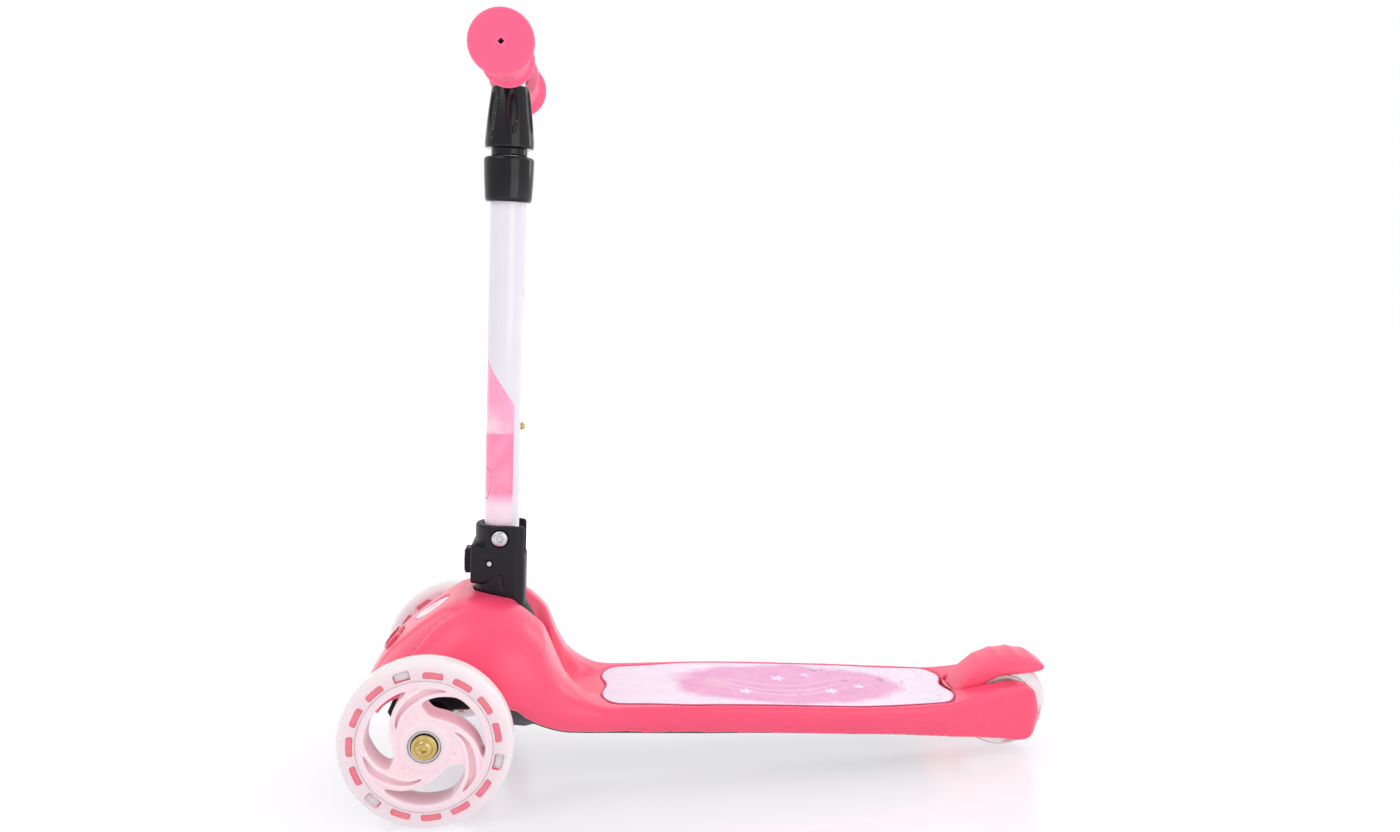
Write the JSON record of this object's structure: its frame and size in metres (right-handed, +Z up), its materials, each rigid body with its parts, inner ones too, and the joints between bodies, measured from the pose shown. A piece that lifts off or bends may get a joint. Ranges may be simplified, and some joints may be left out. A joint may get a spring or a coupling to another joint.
{
  "type": "kick scooter",
  "caption": "Child's three-wheeled kick scooter with lean steering, folding height-adjustable T-bar, foot brake and moulded deck.",
  "frame": {"origin": "on the ground, under the middle of the whole scooter's bounding box", "axes": "-X to the front (two wheels), -Y to the rider's left, +Z up"},
  "size_m": [0.537, 0.2438, 0.5513],
  "materials": {
    "pink_shell": "satin moulded",
    "dark_underside": "matte",
    "mat": "fine diagonal texture",
    "badge": "gloss",
    "trim": "gloss",
    "reflector": "prismatic",
    "black_plastic": "satin",
    "gloss_black": "gloss",
    "steel": "zinc plated",
    "bearing": "ground",
    "brass": "yellow zinc plated",
    "wheel_core": "satin moulded",
    "milky_tyre": "translucent",
    "clear_tyre": "translucent",
    "light_module": "clear",
    "white_tube": "gloss",
    "inner_tube": "satin anodised",
    "grip": "matte",
    "brake": "satin moulded"
  },
  "bodies": {
    "deck": {"deck_shell": "pink_shell", "bottom_cover": "dark_underside", "deck_mat": "mat", "nose_badge": "badge", "reflector_bezel": "trim", "front_reflector": "reflector", "cover_screw_front_left": "steel", "cover_screw_front_right": "steel", "cover_screw_rear_left": "steel", "cover_screw_rear_right": "steel", "kingpin": "steel", "kingpin_nut": "steel", "steering_spring_left": "steel", "steering_spring_right": "steel", "rear_axle": "steel", "rear_axle_keeper_left": "black_plastic", "rear_axle_keeper_right": "black_plastic", "brake_pin": "steel", "brake_spring": "steel", "folding_housing": "black_plastic", "pivot_bolt": "steel", "pivot_nut": "steel", "latch_pin": "steel", "latch_spring": "steel"},
    "steering": {"front_truck": "black_plastic", "front_axle_bolt_left": "brass", "front_axle_bolt_right": "brass"},
    "front_wheel_left": {"front_rim_left": "wheel_core", "front_tyre_left": "milky_tyre", "bearing_outer_left": "bearing", "bearing_inner_left": "bearing", "magnet_core_left": "steel", "wheel_lights_left": "light_module"},
    "front_wheel_right": {"front_rim_right": "wheel_core", "front_tyre_right": "milky_tyre", "bearing_outer_right": "bearing", "bearing_inner_right": "bearing", "magnet_core_right": "steel", "wheel_lights_right": "light_module"},
    "rear_wheel": {"rear_core": "wheel_core", "rear_tyre": "clear_tyre", "rear_bearing_left": "bearing", "rear_bearing_right": "bearing"},
    "stem": {"stem_tube": "white_tube", "stem_foot": "black_plastic", "stem_collar": "gloss_black"},
    "handlebar": {"inner_tube": "inner_tube", "button_clip": "steel", "t_connector": "gloss_black", "handlebar_tube": "inner_tube", "grip_left": "grip", "grip_right": "grip"},
    "latch": {"latch_lever": "black_plastic"},
    "height_button": {"height_button": "brass"},
    "brake": {"brake_lever": "brake"}
  },
  "joints": [
    {"name": "steer", "type": "hinge", "parent": "deck", "child": "steering", "pos_m": [-0.2085, 0, 0.06], "axis": [-0.5736, 0, 0.8192], "range_deg": [-10, 10], "stiffness_Nm_per_rad": 3, "deforming": ["steering_spring_left", "steering_spring_right"]},
    {"name": "front_wheel_left_spin", "type": "hinge", "parent": "steering", "child": "front_wheel_left", "pos_m": [-0.2085, -0.106, 0.06], "axis": [0, 1, 0], "continuous": true},
    {"name": "front_wheel_right_spin", "type": "hinge", "parent": "steering", "child": "front_wheel_right", "pos_m": [-0.2085, 0.106, 0.06], "axis": [0, 1, 0], "continuous": true},
    {"name": "rear_wheel_spin", "type": "hinge", "parent": "deck", "child": "rear_wheel", "pos_m": [0.2325, 0, 0.036], "axis": [0, 1, 0], "continuous": true},
    {"name": "stem_fold", "type": "hinge", "parent": "deck", "child": "stem", "pos_m": [-0.1621, 0, 0.1816], "axis": [0, 1, 0], "range_deg": [0, 90]},
    {"name": "bar_height", "type": "slide", "parent": "stem", "child": "handlebar", "axis": [0.0436, 0, 0.999], "range_m": [0, 0.1002]},
    {"name": "height_button_press", "type": "slide", "parent": "stem", "child": "height_button", "axis": [-0.999, 0, 0.0436], "range_m": [0, 0.0024], "stiffness_N_per_m": 1500, "springref_m": -0.001},
    {"name": "fold_latch", "type": "hinge", "parent": "deck", "child": "latch", "pos_m": [-0.17044, 0, 0.16245], "axis": [0, 1, 0], "range_deg": [-8, 0], "stiffness_Nm_per_rad": 0.6, "springref_deg": 5.73, "deforming": ["latch_spring"]},
    {"name": "brake_press", "type": "hinge", "parent": "deck", "child": "brake", "pos_m": [0.1875, 0, 0.0405], "axis": [0, 1, 0], "range_deg": [0, 3], "stiffness_Nm_per_rad": 4, "springref_deg": -5.73, "deforming": ["brake_spring"]}
  ]
}
